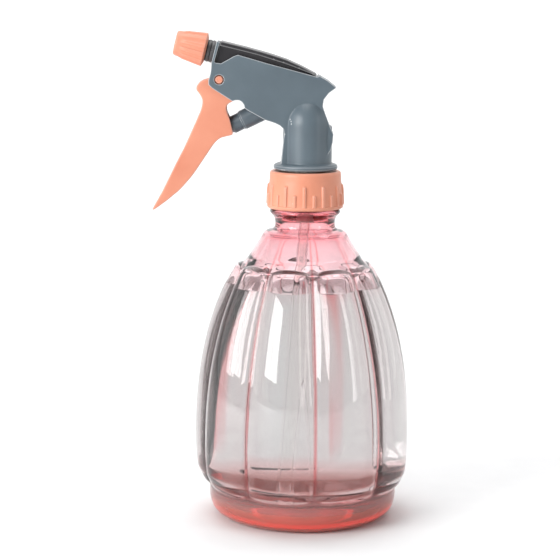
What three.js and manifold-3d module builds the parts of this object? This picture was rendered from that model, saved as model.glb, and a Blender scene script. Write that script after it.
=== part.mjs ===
// Trigger-pump hand mister for plants: a lobed clear bottle under a pistol-shaped pump head.
// Millimetres, +Z up. The origin is on the bottle's axis at the plane it stands on.
// The nozzle points along -X and rises 13 degrees; the pump's piston rises 26 degrees towards +X.
import * as THREE from "three";
import { mergeVertices } from "three/addons/utils/BufferGeometryUtils.js";
import Module from "manifold-3d";

const wasm = await Module();
wasm.setup();

// ---------------------------------------------------------------- driving dimensions
const DEG = Math.PI / 180;
const LOBES = 9, LOBE_STEPS = 6, LOBE_PHASE = 6.2 * DEG, LOBE_POWER = 2.4; // flutes round the bottle
const NECK_BORE = 10.95, NECK_ROOT = 12.75, NECK_TOP = 154.6; // 28 mm screw neck
const NECK_PITCH = 4.23, NECK_THREAD_R = 0.9, NECK_THREAD_START = 146.0;
const CLOSURE_BOTTOM = 143.4, CLOSURE_TOP = 160.4, CLOSURE_BORE = 14.25, CLOSURE_HOLE = 9.5, RIBS = 24;
const FLANGE_BOTTOM = 161.2, FLANGE_TOP = 163.9, FLANGE_R = 14.6;
const PLATE_Y = 7.5, CAVITY_Y = 6.2; // half widths of the head's side walls, outside and inside
const BARREL_X = 0.75, BARREL_RX = 11.2, BARREL_RY = 12.2, BARREL_WALL = 1.6;
const PIVOT = [-39.4, 201.8], PIVOT_HOLE_R = 2.2, PIVOT_STUB_R = 1.75;
const TRIGGER_Y = 5.9, TRIGGER_POCKET_Y = 4.5;
const NOZZLE_AT = [-41.0, 213.75], NOZZLE_RISE = 13.2 * DEG, NOZZLE_PITCH = 2.5;
const PUMP_AT = [-33.4, 181.0], PUMP_RISE = 26 * DEG;
const ROD_R = 4.5, ROD_NOSE_R = 4.0, GLAND_BORE = 4.7, CHAMBER_R = 5.2, BLOCK_R = 5.9;
const TUBE_R = 2.45, TUBE_BORE = 1.7;
const BALL_R = 2.1;

// ---------------------------------------------------------------- solids
function solid(geometry) {
  const g = geometry.index ? geometry.toNonIndexed() : geometry.clone();
  g.deleteAttribute("normal");
  g.deleteAttribute("uv");
  const merged = mergeVertices(g, 1e-4);
  const index = merged.index.array, kept = [];
  for (let i = 0; i < index.length; i += 3) {
    const [a, b, c] = [index[i], index[i + 1], index[i + 2]];
    if (a !== b && b !== c && a !== c) kept.push(a, b, c);
  }
  const make = (tris) =>
    new wasm.Manifold(new wasm.Mesh({ numProp: 3, vertProperties: new Float32Array(merged.attributes.position.array), triVerts: new Uint32Array(tris) }));
  const made = make(kept);
  if (made.volume() > 0) return made;
  for (let i = 0; i < kept.length; i += 3) [kept[i], kept[i + 1]] = [kept[i + 1], kept[i]];
  return make(kept);
}
const join = (...list) => list.reduce((a, b) => a.add(b));
const cut = (from, ...list) => list.reduce((a, b) => a.subtract(b), from);

function geometryOf(made) {
  const m = made.getMesh(), v = new Float32Array(m.numVert * 3);
  for (let i = 0; i < m.numVert; i++) for (let k = 0; k < 3; k++) v[3 * i + k] = m.vertProperties[m.numProp * i + k];
  const g = new THREE.BufferGeometry();
  g.setAttribute("position", new THREE.BufferAttribute(v, 3));
  g.setIndex(new THREE.BufferAttribute(new Uint32Array(m.triVerts), 1));
  g.computeVertexNormals();
  return g;
}

// A profile of [r, z] pairs turned round the Z axis; it starts and ends on the axis or closes on itself.
function turned(profile, segments = 32, phase = 0) {
  const closed = profile[0][0] > 0 ? [...profile, profile[0]] : profile;
  const g = new THREE.LatheGeometry(closed.map(([r, z]) => new THREE.Vector2(r, z)), segments, phase);
  g.rotateX(Math.PI / 2);
  return g;
}
const rod = (r, z0, z1, segments = 32, r2 = r) => turned([[0, z0], [r, z0], [r2, z1], [0, z1]], segments);
const ring = (ri, ro, z0, z1, segments = 32) => turned([[ri, z0], [ro, z0], [ro, z1], [ri, z1]], segments);

// An outline of [x, z] pairs made y0 to y1 thick.
function slab(outline, y0, y1) {
  const shape = new THREE.Shape(outline.map(([x, z]) => new THREE.Vector2(x, z)));
  const g = new THREE.ExtrudeGeometry(shape, { depth: y1 - y0, bevelEnabled: false, curveSegments: 8 });
  g.rotateX(Math.PI / 2);
  g.translate(0, y1, 0);
  return g;
}
function round(shapeRadius, sides) {
  const s = new THREE.Shape();
  for (let i = 0; i < sides; i++) {
    const a = (i / sides) * 2 * Math.PI, x = shapeRadius * Math.cos(a), y = shapeRadius * Math.sin(a);
    i ? s.lineTo(x, y) : s.moveTo(x, y);
  }
  s.closePath();
  return s;
}
class Helix extends THREE.Curve {
  constructor(r, pitch, turns, z0, start = 0) {
    super();
    Object.assign(this, { r, pitch, turns, z0, start });
  }
  getPoint(t, target = new THREE.Vector3()) {
    const a = this.start + t * this.turns * 2 * Math.PI;
    return target.set(this.r * Math.cos(a), this.r * Math.sin(a), this.z0 + t * this.turns * this.pitch);
  }
}
const swept = (curve, radius, steps, sides) =>
  new THREE.ExtrudeGeometry(round(radius, sides), { extrudePath: curve, steps, bevelEnabled: false });

// Local +Z laid along the nozzle (forwards) or along the pump (upwards to the rear).
const nozzleFrame = new THREE.Matrix4().makeRotationY(-(Math.PI / 2 - NOZZLE_RISE)).setPosition(NOZZLE_AT[0], 0, NOZZLE_AT[1]);
const pumpFrame = new THREE.Matrix4().makeRotationY(Math.PI / 2 - PUMP_RISE).setPosition(PUMP_AT[0], 0, PUMP_AT[1]);
const alongNozzle = (g) => g.applyMatrix4(nozzleFrame);
const alongPump = (g) => g.applyMatrix4(pumpFrame);
const standing = (g, x, y, z = 0) => g.translate(x, y, z);
const onNozzle = (s) => new THREE.Vector3(0, 0, s).applyMatrix4(nozzleFrame);

// ---------------------------------------------------------------- materials
const finish = (color, roughness, metalness = 0, extra = {}) => new THREE.MeshStandardMaterial({ color, roughness, metalness, ...extra });
const PEACH = 0xea9a78, GREY = 0x6f7c84, BLACK = 0x24272a, DARK = 0x53606a, NATURAL = 0xe9e6df;
const clearPink = () => finish(0xf3b9bd, 0.05, 0, { transparent: true, opacity: 0.45 });

const parts = {};
function piece(name, made, material) {
  const mesh = new THREE.Mesh(made.isBufferGeometry ? made : geometryOf(made), material);
  mesh.name = name;
  parts[name] = mesh;
  return mesh;
}

// ---------------------------------------------------------------- bottle
// Profile from the middle of the underside, up the outside, over the lip and down the inside: [r, z, flute depth].
const bottleProfile = [
  [0, 0.8, 0], [9, 0.8, 0], [15.5, 3.4, 0], [24.5, 0, 0], [34, 0, 0], [38.2, 1.1, 0], [41.6, 3.9, 0], [43.3, 8.0, 0], [43.2, 12.6, 0],
  [46.4, 16.2, 2.2], [48.8, 21.5, 3.2], [49.95, 30, 3.5], [50.25, 42, 3.6], [49.65, 55, 3.9], [47.9, 70, 4.3], [44.9, 85, 4.9], [41.1, 97.5, 5.0], [36.7, 108, 4.5],
  [32.6, 115.4, 3.2], [29.6, 118.5, 1.8], [26.6, 120.2, 0.4], [23.4, 125, 0], [19.3, 131.2, 0], [18.2, 132.9, 0], [14.2, 134.2, 0], [13.8, 138.6, 0],
  [16.1, 141.2, 0], [16.0, 142.7, 0], [NECK_ROOT, 143.1, 0], [NECK_ROOT, NECK_TOP, 0],
  [NECK_BORE, NECK_TOP, 0], [NECK_BORE, 136, 0], [16.9, 131.0, 0], [21.6, 124.6, 0], [25.4, 118.9, 0.4], [30.2, 115.2, 2.6], [35.2, 106.6, 4.5], [39.7, 97, 4.9],
  [43.5, 84.7, 4.8], [46.4, 70, 4.2], [48.2, 55, 3.8], [48.7, 42, 3.5], [48.4, 30.4, 3.4], [47.0, 22.4, 3.0], [43.6, 16.8, 1.6], [39.5, 12.2, 0], [33, 10.2, 0], [0, 9.4, 0],
];
{
  const g = turned(bottleProfile.map(([r, z]) => [r, z]), LOBES * LOBE_STEPS, LOBE_PHASE);
  const p = g.attributes.position, rows = bottleProfile.length;
  for (let i = 0; i < p.count; i++) {
    const depth = bottleProfile[i % rows][2], x = p.getX(i), y = p.getY(i), r = Math.hypot(x, y);
    if (!depth || r < 1) continue;
    const along = (((Math.atan2(x, -y) - LOBE_PHASE) / (2 * Math.PI)) * LOBES + 2 * LOBES) % 1;
    const k = (r - depth * Math.abs(2 * along - 1) ** LOBE_POWER) / r;
    p.setXY(i, x * k, y * k);
  }
  const thread = swept(new Helix(12.95, NECK_PITCH, 1.75, NECK_THREAD_START), NECK_THREAD_R, 28, 6);
  piece("bottle", join(solid(g), solid(thread)), clearPink());
}

// ---------------------------------------------------------------- closure and gasket
{
  const shell = turned([
    [CLOSURE_HOLE, 158.8], [CLOSURE_BORE, 158.8], [CLOSURE_BORE, CLOSURE_BOTTOM], [16.9, CLOSURE_BOTTOM], [17.5, 144.1], [17.5, 145.2], [17.05, 145.4],
    [16.85, 151], [16.4, 156], [16.35, 159.6], [15.7, CLOSURE_TOP], [CLOSURE_HOLE, CLOSURE_TOP],
  ], 40);
  let made = solid(shell);
  for (let i = 0; i < RIBS; i++) {
    const top = i % 2 ? 150.8 : 154.7;
    const rib = slab([[15.6, top], [16.9, top], [17.8, top - 1.2], [17.85, 145.0], [15.6, 145.0]], -0.65, 0.65);
    made = made.add(solid(rib.rotateZ((i - 0.133) * (360 / RIBS) * DEG)));
  }
  const thread = swept(new Helix(14.15, NECK_PITCH, 1.25, NECK_THREAD_START + NECK_PITCH / 2), NECK_THREAD_R, 24, 6);
  piece("closure_ring", made.add(solid(thread)), finish(PEACH, 0.45));
}
piece("neck_gasket", solid(ring(9.0, 12.6, NECK_TOP + 0.15, NECK_TOP + 1.45, 32)), finish(NATURAL, 0.6));

// ---------------------------------------------------------------- what hangs under the head
piece(
  "tube_retainer",
  join(
    solid(turned([[2.65, 139.5], [4.0, 139.5], [4.0, 156.3], [7.4, 156.3], [8.8, 156.35], [13.4, 156.35], [13.4, 158.4], [8.75, 158.4], [8.75, 168.2], [7.5, 168.2], [7.5, 158.4], [4.0, 158.4],
      [4.0, 169.6], [2.6, 169.6], [2.6, 164.6], [1.6, 164.0], [1.6, 158.2], [2.65, 158.2]], 24)),
  ),
  finish(NATURAL, 0.5),
);
{
  const path = new THREE.CatmullRomCurve3([[0, 157.8], [0, 150], [0, 141], [-0.6, 130], [-1.5, 118], [-3.2, 85], [-5.2, 45], [-6.6, 14.2]].map(([x, z]) => new THREE.Vector3(x, 0, z)));
  const outer = solid(swept(path, TUBE_R, 14, 12)), inner = solid(swept(path, TUBE_BORE, 14, 12));
  const tips = [solid(standing(rod(TUBE_BORE - 0.02, 157, 159, 12), 0, 0)), solid(standing(rod(TUBE_BORE - 0.02, 13, 14.6, 12), -6.6, 0))];
  piece("dip_tube", cut(outer, join(inner, ...tips)), finish(0xf2f0ea, 0.35, 0, { transparent: true, opacity: 0.7 }));
}
piece("inlet_ball", solid(new THREE.SphereGeometry(BALL_R, 16, 10).rotateX(Math.PI / 2).translate(0, 0, 165.55)), finish(0xc9cdd1, 0.15, 1));

// ---------------------------------------------------------------- head frame: side walls, front plate, barrel and flange in one moulding
const SIDE_OUTLINE = [
  [-40.5, 219.0], [-39.05, 218.7], [-41.55, 209.8], [-41.0, 209.35], [-38.5, 209.1], [-36.3, 210.35], [-32.7, 212.4], [-30.9, 213.0], [-17.8, 209.3], [5.2, 203.3], [5.4, 204.1], [9.6, 201.7], [13.5, 198.6],
  [10.2, 196.2], [7.9, 193.2], [7.5, 190.2], [8.9, 185.9], [10.9, 180.9], [12.5, 177.7], [11.8, 176.0], [-9.6, 176.0], [-10.3, 179.9], [-11.6, 181.2], [-14.3, 182.5], [-18.7, 183.9],
  [-26.9, 188.4], [-27.9, 189.3], [-28.15, 190.5], [-29.0, 191.8], [-30.3, 192.6], [-32.0, 192.6], [-33.3, 192.15], [-34.1, 192.6], [-42.4, 197.9], [-44.2, 199.5], [-44.2, 201.4], [-43.4, 204.4], [-43.1, 206.2], [-42.95, 209.0],
];
{
  const plates = solid(slab(SIDE_OUTLINE, -PLATE_Y, PLATE_Y));
  const oval = (inset, z0, z1) => {
    const g = rod(1, z0, z1, 36);
    return g.scale(BARREL_RX - inset, BARREL_RY - inset, 1).translate(BARREL_X, 0, 0);
  };
  const dome = (inset) => {
    const g = new THREE.SphereGeometry(1, 36, 16).rotateX(Math.PI / 2);
    return g.scale(BARREL_RX - inset, BARREL_RY - inset, 13.4 - inset).translate(BARREL_X, 0, 181);
  };
  const backLimit = solid(slab([[-14, 165], [12.4, 165], [12.5, 177.7], [10.9, 180.9], [8.9, 185.9], [7.5, 190.2], [7.9, 196], [-14, 196]], -14, 14));
  const barrel = join(solid(oval(0, FLANGE_TOP - 0.5, 181)), solid(dome(0)).intersect(backLimit));
  const fillet = solid(turned([[0, FLANGE_BOTTOM], [FLANGE_R - 0.4, FLANGE_BOTTOM], [FLANGE_R, FLANGE_BOTTOM + 0.5], [FLANGE_R, FLANGE_TOP - 1.0], [FLANGE_R - 0.6, FLANGE_TOP - 0.3], [12.6, FLANGE_TOP + 0.1], [0, FLANGE_TOP + 0.1]], 40));
  const keel = solid(slab([[-11.3, FLANGE_TOP - 0.5], [0, FLANGE_TOP - 0.5], [0, 177], [-10.0, 177]], -PLATE_Y, PLATE_Y));
  const outer = join(plates, barrel, fillet, keel);

  // the slot between the side walls: open above for the pump, and open below and in front for the trigger
  const slot = solid(slab([
    [-36.5, 226], [-39.0, 218.7], [-41.6, 209.4], [-42.0, 207.2], [-42.2, 206.0], [-52, 206.0], [-52, 184], [-20.4, 179.5], [-14.6, 182.3], [-12.45, 183.3], [-8.4, 185.1], [-8.4, 176],
    [6.4, 176], [6.0, 190.2], [6.6, 194.0], [8.4, 197.2], [4.2, 201.0], [4.0, 226],
  ], -CAVITY_Y, CAVITY_Y));
  const bore = join(solid(oval(BARREL_WALL, 168.6, 181)), solid(dome(BARREL_WALL)).intersect(solid(slab([[-14, 170], [10.8, 170], [10.9, 177.4], [9.4, 180.5], [7.4, 185.6], [6.0, 190.1], [6.2, 196], [-14, 196]], -14, 14))));
  const seat = solid(rod(9.1, FLANGE_BOTTOM - 1, 168.8, 32));
  const notch = join(solid(alongNozzle(rod(5.1, -4, 3, 32))), solid(alongNozzle(slab([[0, -5.1], [12, -5.1], [12, 5.1], [0, 5.1]], -4, 3).rotateX(-Math.PI / 2))));
  const hole = solid(rod(PIVOT_HOLE_R, -20, 20, 24).rotateX(Math.PI / 2).translate(PIVOT[0], 0, PIVOT[1]));
  piece("body_frame", cut(outer, slot, bore, seat, notch, hole), finish(GREY, 0.42));
}
{
  const TOP = [[4.9, 204.3], [-2.0, 207.9], [-8.8, 210.9], [-15.5, 213.1], [-22.1, 214.95], [-29.6, 216.9], [-38.7, 219.0]];
  const UNDER = [[-39.25, 217.1], [-22.1, 213.0], [-8.8, 208.9], [2.6, 204.6], [3.4, 203.9]];
  const deck = solid(slab([...TOP, ...UNDER], -7.1, 7.1));
  const SKIRT = [[-39.15, 217.4], [-41.2, 210.0], [-41.5, 207.6], [-38.0, 206.7], [-30.7, 209.6], [-17.8, 206.6], [-2.0, 203.4], [-2.0, 207.0], [-15.5, 212.2]];
  const skirts = [1, -1].map((s) => solid(slab(SKIRT, s > 0 ? 5.1 : -5.9, s > 0 ? 5.9 : -5.1)));
  piece("top_cover", join(deck, ...skirts), finish(BLACK, 0.5));
}

// ---------------------------------------------------------------- pump body with its cylinder, inlet stem and channel; the delivery tube plugs into it and carries the nozzle
{
  const block = solid(alongPump(rod(BLOCK_R, 18.2, 38.4, 24)));
  const stem = solid(turned([[0, 162.6], [6.6, 162.6], [6.6, 172.6], [4.4, 175.0], [4.4, 199.6], [3.2, 200.4], [3.2, 203.3], [0, 203.3]], 24));
  const way = new THREE.CatmullRomCurve3([onNozzle(-18.5), onNozzle(-21.5), ...[[-15, 207.1], [-8.8, 205.0], [-3.2, 202.9], [0.2, 201.5]].map(([x, z]) => new THREE.Vector3(x, 0, z))]);
  const channel = join(solid(alongNozzle(rod(2.9, -20, -14, 20))), solid(swept(way, 2.9, 10, 16)));
  const web = solid(slab([[-25.8, 208.4], [-6, 203.2], [-2, 200], [-2, 192], [-14, 194], [-20, 202]], -1.1, 1.1));
  const body = join(block, stem, channel, web);
  const chamber = solid(alongPump(rod(CHAMBER_R, 17.0, 36.6, 24)));
  const port = solid(alongPump(rod(1.4, 35.8, 39.6, 10)));
  const socket = solid(rod(4.3, 162, 170.4, 20));
  const riser = solid(rod(1.6, 170, 202.4, 10));
  const delivery = join(solid(alongNozzle(rod(1.5, -20.2, -13, 10))), solid(swept(way, 1.5, 10, 10)));
  const spigot = solid(alongNozzle(rod(2.25, -19.5, -13, 16)));
  piece("pump_body", cut(body, chamber, port, socket, riser, delivery, spigot), finish(BLACK, 0.4));
}
{
  const body = solid(alongNozzle(turned([
    [1.2, -19.1], [1.95, -19.1], [1.95, -13.7], [2.9, -13.7], [2.9, -0.6], [4.8, -0.6], [4.8, 1.0], [5.1, 1.1], [5.1, 3.9], [4.8, 4.0], [4.8, 5.2], [4.15, 5.6], [4.15, 11.8], [3.95, 12.0], [3.95, 15.9], [3.6, 16.3], [2.75, 16.3], [2.75, 2.4], [1.2, 2.4]], 24)));
  const thread = solid(alongNozzle(swept(new Helix(4.2, NOZZLE_PITCH, 1.75, 6.4), 0.55, 24, 5)));
  const bore = solid(alongNozzle(rod(2.75, 2.4, 17, 24)));
  piece("delivery_tube", join(body, thread.subtract(bore)), finish(BLACK, 0.35));
}

// ---------------------------------------------------------------- trigger with its two pivot stubs
const TRIGGER_OUTLINE = [
  [-44.6, 201.9], [-46.2, 201.6], [-48.1, 200.7], [-49.6, 199.0], [-49.9, 197.2], [-48.2, 195.2], [-47.1, 193.2], [-46.9, 191.4], [-47.6, 188.1], [-51.4, 179.5], [-55.2, 171.0], [-58.9, 163.8], [-65.2, 150.9], [-69.9, 142.4],
  [-68.8, 142.5], [-63.4, 146.4], [-57.4, 151.4], [-53.3, 155.9], [-50.4, 159.6], [-45.9, 166.4], [-41.6, 172.9], [-39.1, 175.4], [-33.0, 176.9], [-33.2, 178.5], [-34.85, 185.0], [-35.9, 187.3], [-36.1, 189.5], [-35.5, 190.7], [-34.3, 191.5], [-32.9, 192.1], [-32.5, 193.2], [-34.6, 196.6], [-35.6, 198.6],
];
{
  const blade = slab(TRIGGER_OUTLINE.concat([[-35.85, 201.4], [-36.4, 203.6], [-38.0, 205.1], [-40.2, 205.3], [-42.0, 204.3]]), -TRIGGER_Y, TRIGGER_Y);
  const stubs = rod(PIVOT_STUB_R, -7.2, 7.2, 20).rotateX(Math.PI / 2).translate(PIVOT[0], 0, PIVOT[1]);
  // pockets behind the finger face, open at the back, and a saddle whose floor pushes the end of the piston rod
  const tail = slab([[-49.6, 178.6], [-53.4, 170.4], [-57.0, 163.2], [-62.6, 151.6], [-58, 146], [-38, 163], [-36, 171.6], [-40.4, 176.4], [-46.6, 177.6]], -TRIGGER_POCKET_Y, TRIGGER_POCKET_Y);
  const upper = slab([[-44.6, 191.6], [-45.2, 189.6], [-45.4, 188.4], [-30, 188.4], [-30, 196.4], [-43.2, 196.4]], -TRIGGER_POCKET_Y, TRIGGER_POCKET_Y);
  const saddle = slab([[-33.8, 174.75], [-37.0, 185.17], [-33.2, 186.35], [-28.1, 176.5]], -TRIGGER_POCKET_Y, TRIGGER_POCKET_Y);
  piece("trigger", cut(join(solid(blade), solid(stubs)), solid(tail), solid(upper), solid(saddle)), finish(PEACH, 0.45));
}

// ---------------------------------------------------------------- the sliding pump, built along its own axis
const pump = new THREE.Group();
pump.position.set(PUMP_AT[0], 0, PUMP_AT[1]);
pump.rotation.y = Math.PI / 2 - PUMP_RISE;
pump.add(
  piece("piston_rod", solid(turned([
    [0, -2.05], [1.9, -1.8], [3.2, -1.1], [ROD_NOSE_R, 0], [ROD_NOSE_R, 4.35], [4.2, 4.45], [4.2, 4.8], [ROD_R, 5.2], [ROD_R, 22.2], [4.95, 22.3], [4.95, 23.0], [3.2, 23.2], [3.2, 27.2], [2.4, 27.2], [2.4, 10.0], [0, 10.0],
  ], 24)), finish(DARK, 0.4)),
  piece("cylinder_gland", solid(turned([[GLAND_BORE, 16.6], [5.3, 16.6], [5.6, 16.9], [5.6, 17.9], [GLAND_BORE, 17.9]], 24)), finish(BLACK, 0.45)),
  piece("piston_cup", solid(turned([[3.45, 23.5], [4.3, 23.5], [4.7, 24.8], [4.98, 27.4], [4.6, 27.4], [4.1, 25.6], [3.45, 25.2]], 24)), finish(NATURAL, 0.5)),
  piece("return_spring", solid(swept(new Helix(1.85, 2.8, 9, 10.6), 0.35, 72, 5)), finish(0xb9bcc0, 0.25, 1)),
);

// ---------------------------------------------------------------- the nozzle, built along its own axis
const nozzle = new THREE.Group();
nozzle.position.set(NOZZLE_AT[0], 0, NOZZLE_AT[1]);
nozzle.rotation.y = -(Math.PI / 2 - NOZZLE_RISE);
{
  const shell = solid(turned([
    [0.45, 19.0], [0.45, 17.4], [4.35, 17.4], [4.35, 14.3], [5.25, 14.2], [5.25, 12.6], [4.35, 12.5], [4.35, 12.2], [5.05, 11.9], [5.05, 4.5], [5.65, 4.5], [7.4, 5.4], [7.35, 5.8], [5.65, 18.3], [5.15, 19.0], [1.6, 19.0], [0.46, 18.2],
  ].slice(1), 28));
  let made = shell;
  for (let i = 0; i < 12; i++) {
    const rib = slab([[4.8, 5.3], [7.35, 5.3], [7.7, 5.8], [6.35, 14.8], [5.7, 17.2], [4.8, 17.2]], -0.85, 0.85);
    made = made.add(solid(rib.rotateZ((i + 0.5) * 30 * DEG)));
  }
  const hollow = solid(turned([[0, 17.4], [4.35, 17.4], [4.35, 14.3], [5.25, 14.2], [5.25, 12.6], [4.35, 12.5], [4.35, 12.2], [5.05, 11.9], [5.05, 3.0], [0, 3.0]], 28));
  const thread = solid(swept(new Helix(5.0, NOZZLE_PITCH, 1.5, 6.4 + NOZZLE_PITCH / 2), 0.55, 24, 5));
  made = made.subtract(hollow).add(thread);
  nozzle.add(piece("nozzle_cap", made, finish(PEACH, 0.45)));
}
nozzle.add(
  piece("nozzle_oring", solid(new THREE.TorusGeometry(4.6, 0.45, 6, 24).translate(0, 0, 13.4)), finish(0x1b1b1d, 0.7)),
  piece("nozzle_spinner", cut(
    solid(turned([[0, 9.6], [2.45, 9.6], [2.45, 15.8], [1.5, 16.2], [1.5, 17.0], [0, 17.0]], 24)),
    solid(new THREE.BoxGeometry(0.8, 6, 6).translate(2.2, 0, 12)), solid(new THREE.BoxGeometry(0.8, 6, 6).translate(-2.2, 0, 12)),
  ), finish(NATURAL, 0.45)),
  piece("outlet_ball", solid(new THREE.SphereGeometry(BALL_R, 16, 10).rotateX(Math.PI / 2).translate(0, 0, 4.2)), finish(0xc9cdd1, 0.15, 1)),
  piece("outlet_spring", solid(swept(new Helix(1.75, 0.85, 3, 6.65), 0.25, 30, 4)), finish(0xb9bcc0, 0.25, 1)),
);

// ---------------------------------------------------------------- the object
const head = new THREE.Group();
head.add(parts.body_frame, parts.top_cover, parts.pump_body, parts.delivery_tube, parts.tube_retainer, parts.dip_tube, parts.inlet_ball, parts.trigger, pump, nozzle);
const mister = new THREE.Group();
mister.add(parts.bottle, parts.neck_gasket, parts.closure_ring, head);

export default mister;
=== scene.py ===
# Looks of the trigger spray bottle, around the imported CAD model. Metres, same frame as the CAD.
import math
import bpy
import bmesh
import numpy as np
from mathutils import Matrix, Vector


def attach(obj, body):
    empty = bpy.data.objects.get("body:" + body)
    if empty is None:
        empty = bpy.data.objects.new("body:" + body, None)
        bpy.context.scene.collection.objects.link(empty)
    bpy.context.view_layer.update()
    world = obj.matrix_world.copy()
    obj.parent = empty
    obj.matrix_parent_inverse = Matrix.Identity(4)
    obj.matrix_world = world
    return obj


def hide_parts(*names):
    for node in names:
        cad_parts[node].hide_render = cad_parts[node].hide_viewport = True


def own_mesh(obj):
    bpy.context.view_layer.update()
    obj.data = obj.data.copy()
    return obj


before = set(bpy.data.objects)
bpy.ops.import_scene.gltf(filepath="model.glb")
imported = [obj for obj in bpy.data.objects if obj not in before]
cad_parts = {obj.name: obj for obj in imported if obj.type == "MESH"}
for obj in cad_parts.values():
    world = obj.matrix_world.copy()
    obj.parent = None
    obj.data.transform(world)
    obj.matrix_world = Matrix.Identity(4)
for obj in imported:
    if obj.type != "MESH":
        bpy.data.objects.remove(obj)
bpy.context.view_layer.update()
MM = 0.001
scene = bpy.context.scene

# ------------------------------------------------------------------ camera
ELEV, ROLL, DIST = math.radians(8.9), math.radians(0.45), 0.9
target = Vector((-0.01125, 0.0, 0.1097))
back = Vector((0, -math.cos(ELEV), math.sin(ELEV)))
right = Vector((1, 0, 0))
up = back.cross(right)
r2 = right * math.cos(ROLL) + up * math.sin(ROLL)
u2 = up * math.cos(ROLL) - right * math.sin(ROLL)
cam = bpy.data.objects.new("camera", bpy.data.cameras.new("camera"))
cam.matrix_world = Matrix((
    (r2.x, u2.x, back.x, target.x + back.x * DIST),
    (r2.y, u2.y, back.y, target.y + back.y * DIST),
    (r2.z, u2.z, back.z, target.z + back.z * DIST),
    (0, 0, 0, 1)))
cam.data.sensor_width = 36.0
cam.data.lens = 36.0 * 1953.0 / 560.0
cam.data.clip_start, cam.data.clip_end = 0.05, 20.0
scene.collection.objects.link(cam)
scene.camera = cam


# ------------------------------------------------------------------ mesh helpers
def link(name, mesh, smooth=True):
    obj = bpy.data.objects.new(name, mesh)
    scene.collection.objects.link(obj)
    if smooth:
        mesh.polygons.foreach_set("use_smooth", [True] * len(mesh.polygons))
    mesh.update()
    return obj


def mesh_of(name, verts, faces, smooth=True):
    me = bpy.data.meshes.new(name)
    me.from_pydata([tuple(v) for v in verts], [], faces)
    me.validate()
    return link(name, me, smooth)


def fine(points, per=6, closed=False):
    """Catmull-Rom through the points: a finer list of them."""
    p = np.array(points, float)
    n = len(p)
    out = []
    for i in range(n if closed else n - 1):
        if closed:
            a, b, c, d = p[(i - 1) % n], p[i], p[(i + 1) % n], p[(i + 2) % n]
        else:
            b, c = p[i], p[i + 1]
            a = p[i - 1] if i else 2 * b - c
            d = p[i + 2] if i + 2 < n else 2 * c - b
        t0 = 0.0
        t1 = t0 + max(np.linalg.norm(b - a), 1e-6) ** 0.5
        t2 = t1 + max(np.linalg.norm(c - b), 1e-6) ** 0.5
        t3 = t2 + max(np.linalg.norm(d - c), 1e-6) ** 0.5
        for k in range(per):
            t = t1 + (t2 - t1) * k / per
            A1 = (t1 - t) / (t1 - t0) * a + (t - t0) / (t1 - t0) * b
            A2 = (t2 - t) / (t2 - t1) * b + (t - t1) / (t2 - t1) * c
            A3 = (t3 - t) / (t3 - t2) * c + (t - t2) / (t3 - t2) * d
            B1 = (t2 - t) / (t2 - t0) * A1 + (t - t0) / (t2 - t0) * A2
            B2 = (t3 - t) / (t3 - t1) * A2 + (t - t1) / (t3 - t1) * A3
            out.append((t2 - t) / (t2 - t1) * B1 + (t - t1) / (t2 - t1) * B2)
    if not closed:
        out.append(p[-1])
    return np.array(out)


def softened(profile, radius=0.35, steps=4):
    """A profile with its corners rounded: [r, z] pairs, open."""
    p = [np.array(q, float) for q in profile]
    out = [p[0]]
    for i in range(1, len(p) - 1):
        a, b, c = p[i - 1], p[i], p[i + 1]
        u, v = a - b, c - b
        lu, lv = np.linalg.norm(u), np.linalg.norm(v)
        if lu < 1e-6 or lv < 1e-6:
            continue
        u, v = u / lu, v / lv
        if u @ v < -0.995:
            out.append(b)
            continue
        d = min(radius, lu * 0.45, lv * 0.45)
        s, e = b + u * d, b + v * d
        for k in range(steps + 1):
            t = k / steps
            out.append((1 - t) ** 2 * s + 2 * t * (1 - t) * b + t * t * e)
    out.append(p[-1])
    return np.array(out)


def turned(name, profile, n=96, warp=None, closed=None, smooth=True):
    """A profile of [r, z] in mm turned round Z. It starts and ends on the axis, or closes on itself.
    warp(r, z, phi) returns a new r."""
    prof = np.array(profile, float)
    on_axis = prof[0][0] < 1e-6 and prof[-1][0] < 1e-6
    phi = np.arange(n) / n * 2 * np.pi
    verts, faces, rows = [], [], []
    for i, (r, z) in enumerate(prof):
        if on_axis and i in (0, len(prof) - 1):
            rows.append([len(verts)])
            verts.append((0, 0, z * MM))
            continue
        rr = np.full(n, r) if warp is None else warp(i, r, z, phi)
        row = []
        for k in range(n):
            row.append(len(verts))
            verts.append((rr[k] * math.sin(phi[k]) * MM, -rr[k] * math.cos(phi[k]) * MM, z * MM))
        rows.append(row)
    pairs = list(zip(rows, rows[1:]))
    if not on_axis:
        pairs.append((rows[-1], rows[0]))
    for a, b in pairs:
        for k in range(n):
            j = (k + 1) % n
            if len(a) == 1:
                faces.append((a[0], b[j], b[k]))
            elif len(b) == 1:
                faces.append((a[k], a[j], b[0]))
            else:
                faces.append((a[k], a[j], b[j], b[k]))
    obj = mesh_of(name, verts, faces, smooth)
    outward(obj)
    return obj


def volume(obj):
    bm = bmesh.new()
    bm.from_mesh(obj.data)
    v = bm.calc_volume(signed=True)
    bm.free()
    return v


def outward(obj):
    if volume(obj) < 0:
        obj.data.flip_normals()


def place(obj, matrix):
    obj.data.transform(matrix)
    obj.data.update()
    return obj


def slab(name, outline, y0, y1):
    """An outline of [x, z] in mm, y0 to y1 thick."""
    n = len(outline)
    verts = [(x * MM, y0 * MM, z * MM) for x, z in outline] + [(x * MM, y1 * MM, z * MM) for x, z in outline]
    faces = [tuple(range(n)), tuple(range(2 * n - 1, n - 1, -1))]
    faces += [(i, i + n, (i + 1) % n + n, (i + 1) % n) for i in range(n)]
    obj = mesh_of(name, verts, faces, False)
    outward(obj)
    return obj


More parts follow.
